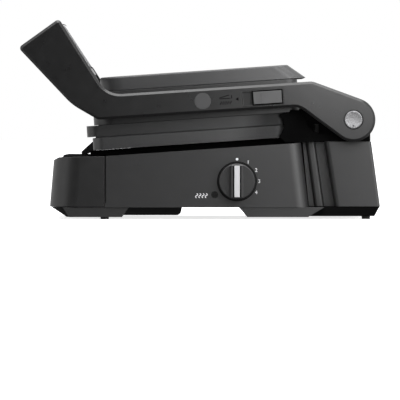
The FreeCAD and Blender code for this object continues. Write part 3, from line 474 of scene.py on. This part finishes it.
def stand_on_side(work, x, z, face=SIDE_FACE, turn=0.0):
    place_it = (Matrix.Translation((x * MM, face - PRINT_FILM, z * MM))
                @ Matrix.Rotation(math.radians(turn), 4, "Y") @ Matrix.Rotation(math.radians(90), 4, "X"))
    bmesh.ops.transform(work, matrix=place_it, verts=work.verts)
    return work


def thicken(work, film=PRINT_FILM):
    skin = bmesh.ops.extrude_face_region(work, geom=work.faces[:])
    moved = [item for item in skin["geom"] if isinstance(item, bmesh.types.BMVert)]
    bmesh.ops.translate(work, verts=moved, vec=(0, 0, -film))
    bmesh.ops.recalc_face_normals(work, faces=work.faces)
    return work


# %% Print a figure
def figure(work, text, size, x, z):
    curve = bpy.data.curves.new("figure_" + text, "FONT")
    curve.body = text
    curve.size = size * MM
    curve.align_x = "CENTER"
    curve.align_y = "CENTER"
    shown = bpy.data.objects.new("figure_" + text, curve)
    bpy.context.scene.collection.objects.link(shown)
    bpy.context.view_layer.update()
    flat = bpy.data.meshes.new_from_object(shown)
    bpy.data.objects.remove(shown)
    part = bmesh.new()
    part.from_mesh(flat)
    bmesh.ops.remove_doubles(part, verts=part.verts, dist=0.001 * MM)
    bmesh.ops.translate(part, verts=part.verts, vec=(x * MM, z * MM, 0))
    part.to_mesh(flat)
    part.free()
    work.from_mesh(flat)
    bpy.data.meshes.remove(flat)


DIAL_X, DIAL_Z = 39.4, 40.4
marks = bmesh.new()
for count in range(1, 5):
    around = math.radians(30 * count)
    figure(marks, str(count), 5.4, 23.6 * math.sin(around), 23.6 * math.cos(around))
bmesh.ops.create_circle(marks, cap_ends=True, segments=24, radius=1.35 * MM,
                        matrix=Matrix.Translation((0, 23.6 * MM, 0)))
place("dial_figures", stand_on_side(thicken(marks), DIAL_X, DIAL_Z), PRINT, "base")
print("printed the dial")

# %% [markdown]
# A stroke is an edge as long as the line is wide, spun through part of a turn. Two of
# them bent opposite ways make a rising wave, which says "heat" in any language, so it
# stands where a maker would print a word.

# %% Draw strokes


def stroke(work, centre, radius, start, sweep, width, steps=10):
    """A curved ribbon in the XY plane. Sizes in millimetres, angles in degrees."""
    spot = Vector((centre[0] * MM, centre[1] * MM, 0))
    along = Vector((math.cos(math.radians(start)), math.sin(math.radians(start)), 0))
    ends = [work.verts.new(spot + along * (radius + side * width / 2) * MM) for side in (-1, 1)]
    edge = work.edges.new(ends)
    bmesh.ops.spin(work, geom=[edge, *ends], cent=spot, axis=(0, 0, 1),
                   angle=math.radians(sweep), steps=steps)


def bar(work, x, y, width, height, turn=0.0):
    """A straight flat bar in the XY plane, in millimetres."""
    bmesh.ops.create_grid(work, x_segments=1, y_segments=1, size=0.5, matrix=(
        Matrix.Translation((x * MM, y * MM, 0)) @ Matrix.Rotation(math.radians(turn), 4, "Z")
        @ Matrix.Diagonal((width * MM, height * MM, 1, 1))))


def wave(work, x, y, height, width):
    bend = height / 4
    stroke(work, (x, y + bend), bend, -90, 180, width)
    stroke(work, (x, y - bend), bend, 90, 180, width)


heat = bmesh.new()
for step in range(4):
    wave(heat, 3.4 * step - 5.1, 0, 4.4, 0.85)
place("heat_symbol", stand_on_side(thicken(heat), 1.5, 25.2), PRINT, "base")

# %% Mark the sliding lock: an arrow, an opening lid and the heat symbol
lock = bmesh.new()
bmesh.ops.create_circle(lock, cap_ends=True, segments=3, radius=2.1 * MM, matrix=(
    Matrix.Translation((11.2 * MM, -0.4 * MM, 0)) @ Matrix.Rotation(math.radians(90), 4, "Z")))
place("lock_arrow", stand_on_side(thicken(lock), 28.6, 127.6, turn=-3.9), DARK_PRINT, "arms")
label = bmesh.new()
bar(label, -2.0, 1.2, 11.5, 0.7)
bar(label, -2.6, 3.4, 11.0, 0.7, 14)
bar(label, 5.2, 2.6, 0.8, 3.4)
for step in range(5):
    wave(label, 2.6 * step - 6.6, -3.4, 3.2, 0.6)
place("lock_symbol", stand_on_side(thicken(label), 28.6, 127.4, turn=-3.9), DARK_PRINT,
      "arms")
print("printed the side symbols")

# %% [markdown]
# The sliding lock has a dark lip round it that hides the slot as it moves. The lip is a
# frame that follows the slider's own outline, measured from its mesh in the arm's tilted
# direction, so it always fits. Drawing the outline by hand would need new numbers each
# time the slider changes.

# %% Fit a lip round the sliding lock
LIP_REACH, LIP_WIDTH = 0.9 * MM, 1.3 * MM
LIP_FACE, LIP_BACK = -168.5 * MM, -168.22 * MM
ARM_TILT = Matrix.Rotation(math.radians(3.9), 3, "Y")


def flat_ring(work, low, high, width, face, back):
    """A flat rectangular frame in the XZ plane, inset from one sheet and pulled thick."""
    middle = Vector((low[0] + high[0], low[1] + high[1], 0)) / 2
    bmesh.ops.create_grid(work, x_segments=1, y_segments=1, size=0.5, matrix=(
        Matrix.Translation(middle) @ Matrix.Diagonal((high[0] - low[0], high[1] - low[1], 1, 1))))
    inner = work.faces[:]
    bmesh.ops.inset_region(work, faces=inner, thickness=width, use_boundary=True,
                           use_even_offset=True)
    bmesh.ops.delete(work, geom=inner, context="FACES_ONLY")
    thicken(work, back - face)
    onto_side = Matrix.Translation((0, face, 0)) @ Matrix.Rotation(math.radians(90), 4, "X")
    bmesh.ops.transform(work, matrix=onto_side, verts=work.verts)


corners = [ARM_TILT @ vert.co for vert in nodes["lock_slider"].data.vertices]
lip_low = (min(v.x for v in corners) - LIP_REACH, min(v.z for v in corners) - LIP_REACH)
lip_high = (max(v.x for v in corners) + LIP_REACH, max(v.z for v in corners) + LIP_REACH)
lip = bmesh.new()
flat_ring(lip, lip_low, lip_high, LIP_WIDTH, LIP_FACE, LIP_BACK)
bmesh.ops.rotate(lip, verts=lip.verts, cent=(0, 0, 0), matrix=ARM_TILT.inverted())
place("lock_lip", lip, SHADE, nodes["lock_slider"]["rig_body"])
print("lip in mm:", [round(v / MM, 1) for v in (*lip_low, *lip_high)])

# %% [markdown]
# The drawer front meets the base with a narrow gap. A gap this thin is hard to see from a
# distance, so a dark strip of painted shadow beside it on the base makes the line read. It
# stands in for the shade in a deeper gap, which would be the truer way.

# %% Paint shadow along the seam behind the drawer on both sides
SEAM_X, SEAM_Z = -101.0, 42.2
SEAM_WIDTH, SEAM_HEIGHT = 0.9, 49.5
for side, name in ((-1, "drawer_seam_shadow_right"), (1, "drawer_seam_shadow_left")):
    seam = bmesh.new()
    bar(seam, 0, 0, SEAM_WIDTH, SEAM_HEIGHT)
    stand_on_side(thicken(seam), SEAM_X + 0.1 + SEAM_WIDTH / 2, SEAM_Z)
    if side > 0:
        bmesh.ops.scale(seam, verts=seam.verts, vec=(1, -1, 1))
        bmesh.ops.recalc_face_normals(seam, faces=seam.faces)
    place(name, seam, SHADE, "base")
print("darkened the drawer seam")

# %% [markdown]
# ## Control panel marks
# The four keys carry engraved signs filled with pale paint: on and off, less, more and
# start. The round window shows a ring of light segments that glow softly through the
# smoked lens. They are drawn flat and then laid on the sloping end face of the handle.

# %% Lay a mark on the handle's end face
END_TURN = math.radians(35.56)
END_MIDDLE = Vector((-170.6, 0, 196.7)) * MM
UP_FACE = Vector((math.cos(END_TURN), 0, math.sin(END_TURN)))
OUT_OF_FACE = Vector((-math.sin(END_TURN), 0, math.cos(END_TURN)))


def lay_on_end(work, y, height):
    across = OUT_OF_FACE.cross(UP_FACE)
    spot = END_MIDDLE + Vector((0, y * MM, 0)) + OUT_OF_FACE * height * MM
    turned = Matrix((across, UP_FACE, OUT_OF_FACE)).transposed().to_4x4()
    bmesh.ops.transform(work, matrix=Matrix.Translation(spot) @ turned, verts=work.verts)
    return work


def key_mark(name, body, y, draw):
    work = bmesh.new()
    draw(work)
    return place(name, lay_on_end(thicken(work), y, 2.26), PRINT, body)


def power_sign(work):
    stroke(work, (0, 0), 3.4, 120, 300, 0.7, 24)
    bar(work, 0, 2.6, 0.7, 3.6)


def less_sign(work):
    bar(work, 0, 0, 6.0, 0.9)


def more_sign(work):
    bar(work, 0, 0, 6.0, 0.9)
    bar(work, 0, 1.8, 0.9, 2.6)
    bar(work, 0, -1.8, 0.9, 2.6)


def start_sign(work):
    bmesh.ops.create_circle(work, cap_ends=True, segments=3, radius=3.4 * MM,
                            matrix=Matrix.Rotation(math.radians(-90), 4, "Z"))


key_mark("power_mark", "power_key", -96, power_sign)
key_mark("less_mark", "programme_down_key", -44, less_sign)
key_mark("more_mark", "programme_up_key", 44, more_sign)
key_mark("start_mark", "start_key", 96, start_sign)

# %% Make the ring of light segments
# The glow is painted: the segments get a bright orange colour and give off no light.
GLOW, glow_shader = new_finish("ring_light", 0.4)
glow_tint = speckle(GLOW, grain_space(GLOW), 3 * MM)
join(GLOW, between_colours(GLOW, glow_tint, 0.3, 0.7, (0.9, 0.42, 0.10), (1.0, 0.55, 0.18)),
     glow_shader.inputs["Base Color"])
ring = bmesh.new()
for part in range(6):
    stroke(ring, (0, 0), 11.6, 60 * part + 6, 48, 1.5, 8)
place("ring_of_light", lay_on_end(thicken(ring), 0, 1.98), GLOW, "arms")
print("marked the control panel")

# %% [markdown]
# ## Small fittings
# A black ring round the dial is painted shadow for the gap round it, so the gap reads as a
# crisp line. The indicator is a small dark lens in its own collar. Both are turned shapes: a
# short profile spun a full turn.

# %% Spin a ring round an axis that points to the side


def side_ring(name, x, z, inner, outer, face, back, material, body):
    work = bmesh.new()
    corners = [(inner, back), (inner, face), (outer, face), (outer, back)]
    dots = [work.verts.new(((x + r) * MM, y * MM, z * MM)) for r, y in corners]
    loop = [work.edges.new((dots[i], dots[(i + 1) % 4])) for i in range(4)]
    bmesh.ops.spin(work, geom=dots + loop, cent=(x * MM, 0, z * MM), axis=(0, 1, 0),
                   angle=math.tau, steps=72, use_merge=True)
    bmesh.ops.remove_doubles(work, verts=work.verts, dist=0.001 * MM)
    bmesh.ops.recalc_face_normals(work, faces=work.faces)
    return place(name, shade(work), material, body, 0.1 * MM)


HINGE_X, HINGE_Z = 163.3, 106.0
side_ring("indicator_collar", 15.6, 26.3, 2.95, 3.7, -168.25, -167.9, BLACK, "base")
side_ring("dial_shadow_ring", DIAL_X, DIAL_Z, 20.45, 21.1, -168.9, -167.9, SHADE, "base")
# The pivot and hinge rings are painted shadow for the gaps round the pivot and hinge caps.
side_ring("pivot_gap_shadow", 2.9, 125.8, 8.82, 9.05, -168.02, -167.2, BLACK, "arms")
side_ring("hinge_gap_shadow", HINGE_X, HINGE_Z, 9.6, 10.5, -168.05, -166.95, BLACK, "arms")
print("fitted the rings")

# %% Lay painted shadow in the gaps beside the white insert
gaps = bmesh.new()
for side in (-1, 1):
    bar(gaps, side * 3.6, 0, 1.2, 33.4)
place("grip_gap_shadows", stand_on_side(thicken(gaps), DIAL_X, DIAL_Z, face=-184.0 * MM), SHADE,
      nodes["dial_knob"]["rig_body"])

# %% [markdown]
# The hinge caps are turned metal with a shallow dish, so one soft light gives a cap a
# dark top and a bright foot. A curved profile spun a full turn makes the dish. A flat
# cylinder with a painted gradient would look the same from here and wrong from anywhere
# else, because the gradient would not follow the light.

# %% Turn the two hinge caps


def dished_cap(work, side):
    profile = [(0, -168.15), (2.5, -168.2), (5.0, -168.32), (7.0, -168.5), (8.2, -168.66),
               (8.7, -168.68), (9.2, -168.6), (9.48, -168.3), (9.48, -166.95), (0, -166.95)]
    part = bmesh.new()
    dots = [part.verts.new(((HINGE_X + r) * MM, y * MM, HINGE_Z * MM)) for r, y in profile]
    edges = [part.edges.new(pair) for pair in zip(dots, dots[1:])]
    bmesh.ops.spin(part, geom=dots + edges, cent=(HINGE_X * MM, 0, HINGE_Z * MM), axis=(0, 1, 0),
                   angle=math.tau, steps=96, use_merge=True)
    bmesh.ops.remove_doubles(part, verts=part.verts, dist=0.001 * MM)
    if side > 0:
        bmesh.ops.scale(part, verts=part.verts, vec=(1, -1, 1))
    bmesh.ops.recalc_face_normals(part, faces=part.faces)
    shape = bpy.data.meshes.new("one_cap")
    part.to_mesh(shape)
    part.free()
    work.from_mesh(shape)
    bpy.data.meshes.remove(shape)


caps = bmesh.new()
for side in (-1, 1):
    dished_cap(caps, side)
hinge_caps = place("hinge_caps_turned", shade(caps), CAP, "arms")
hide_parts("hinge_caps")
print("turned the hinge caps:", len(hinge_caps.data.polygons), "faces")

# %% Point mark on the brushed hinge cap
cap = bmesh.new()
bmesh.ops.create_circle(cap, cap_ends=True, segments=3, radius=1.3 * MM)
place("hinge_mark", stand_on_side(thicken(cap), HINGE_X, 99.4, face=-168.62 * MM), DARK_PRINT,
      "arms")

# %% [markdown]
# ## Studio
# The appliance stands on a plain pale floor in an even white room. The room gives the
# black plastic its base tone. A wide panel overhead draws the light line along every
# bevel, and a panel at the right front makes the sides brighten towards the hinge, as
# they do when a softbox stands there.

# %% Lay the floor
sheet = bmesh.new()
bmesh.ops.create_grid(sheet, x_segments=1, y_segments=1, size=30)
floor_mesh = bpy.data.meshes.new("studio_floor")
sheet.to_mesh(floor_mesh)
sheet.free()
floor = bpy.data.objects.new("studio_floor", floor_mesh)
bpy.context.scene.collection.objects.link(floor)
FLOOR, floor_shader = new_finish("studio_paper", 0.9)
floor_tone = between_colours(FLOOR, speckle(FLOOR, grain_space(FLOOR), 0.4), 0.3, 0.7, grey(0.80), grey(0.82))
join(FLOOR, floor_tone, floor_shader.inputs["Base Color"])
floor_shader.inputs["Emission Color"].default_value = (1, 1, 1, 1)
floor_shader.inputs["Emission Strength"].default_value = 0.75
floor_mesh.materials.append(FLOOR)
floor.visible_diffuse = False
floor.visible_glossy = False

# %% Fill the room with white light, darker below
room = bpy.data.worlds.new("studio_room")
bpy.context.scene.world = room
room.use_nodes = True
room_nodes = room.node_tree
sky = room_nodes.nodes["Background"]
sky.inputs["Strength"].default_value = 1.0
direction = room_nodes.nodes.new("ShaderNodeTexCoord")
parts = room_nodes.nodes.new("ShaderNodeSeparateXYZ")
fade = room_nodes.nodes.new("ShaderNodeValToRGB")
fade.color_ramp.elements[0].position = 0.0
fade.color_ramp.elements[0].color = (0.10, 0.10, 0.10, 1)
fade.color_ramp.elements[1].position = 0.48
fade.color_ramp.elements[1].color = (1, 1, 1, 1)
half = room_nodes.nodes.new("ShaderNodeMapRange")
half.inputs["From Min"].default_value = -1.0
half.inputs["From Max"].default_value = 1.0
room_nodes.links.new(direction.outputs["Generated"], parts.inputs["Vector"])
room_nodes.links.new(parts.outputs["Z"], half.inputs["Value"])
room_nodes.links.new(half.outputs["Result"], fade.inputs["Fac"])
room_nodes.links.new(fade.outputs["Color"], sky.inputs["Color"])

# %% Hang the softboxes


def softbox(name, where, aim, width, height, power):
    light = bpy.data.lights.new(name, "AREA")
    light.shape = "RECTANGLE"
    light.size = width
    light.size_y = height
    light.energy = power
    box = bpy.data.objects.new(name, light)
    bpy.context.scene.collection.objects.link(box)
    box.location = where
    box.rotation_euler = (Vector(aim) - Vector(where)).to_track_quat("-Z", "Y").to_euler()
    box.visible_camera = False
    return box


softbox("overhead_panel", (0.0, -0.45, 1.5), (0, 0, 0.1), 1.8, 0.9, 26)
softbox("right_panel", (0.95, -0.75, 0.25), (0.15, -0.168, 0.1), 0.5, 0.8, 3.2)
softbox("left_panel", (-1.2, -0.6, 0.2), (-0.15, -0.1, 0.05), 0.4, 0.6, 0.5)
softbox("hinge_panel", (0.34, -0.52, 0.29), (0.34, 0, 0.29), 0.48, 0.32, 2.1)
print("softboxes hung")

# %% [markdown]
# A black card held before the front half of the appliance keeps the white room out of
# the handle and the front of the arms, so that they stay deep and the tone rises towards
# the hinge. It is hidden from view and only shows in reflections.

# %% Hold up the black card
card = bmesh.new()
bmesh.ops.create_grid(card, x_segments=1, y_segments=1, size=0.5, matrix=(
    Matrix.Translation((-0.50, -0.95, 0.20)) @ Matrix.Rotation(math.radians(90), 4, "X")
    @ Matrix.Diagonal((0.95, 0.9, 1, 1))))
card_mesh = bpy.data.meshes.new("black_card")
card.to_mesh(card_mesh)
card.free()
card_mesh.materials.append(moulded_plastic("card_felt", grey(0.004), grey(0.006), 0.95, shine=0.0))
flag = bpy.data.objects.new("black_card", card_mesh)
bpy.context.scene.collection.objects.link(flag)
flag.visible_camera = False

# %% [markdown]
# ## Camera
# A long lens from far away keeps the side view almost flat, as for a catalogue picture,
# while a camera just above the plates still shows a sliver of their depth.

# %% Set the camera
view = bpy.data.cameras.new("catalogue_camera")
view.sensor_width = 36
view.lens = 36 * 8.0 / 0.4345
view.clip_end = 60
camera = bpy.data.objects.new("catalogue_camera", view)
bpy.context.scene.collection.objects.link(camera)
camera.location = (0, -8.0, 0.105)
camera.rotation_euler = (Vector((0, 0, 0.0188)) - camera.location).to_track_quat("-Z", "Y").to_euler()
bpy.context.scene.camera = camera
bpy.context.scene.view_settings.view_transform = "Standard"
print("lens in mm:", round(view.lens))
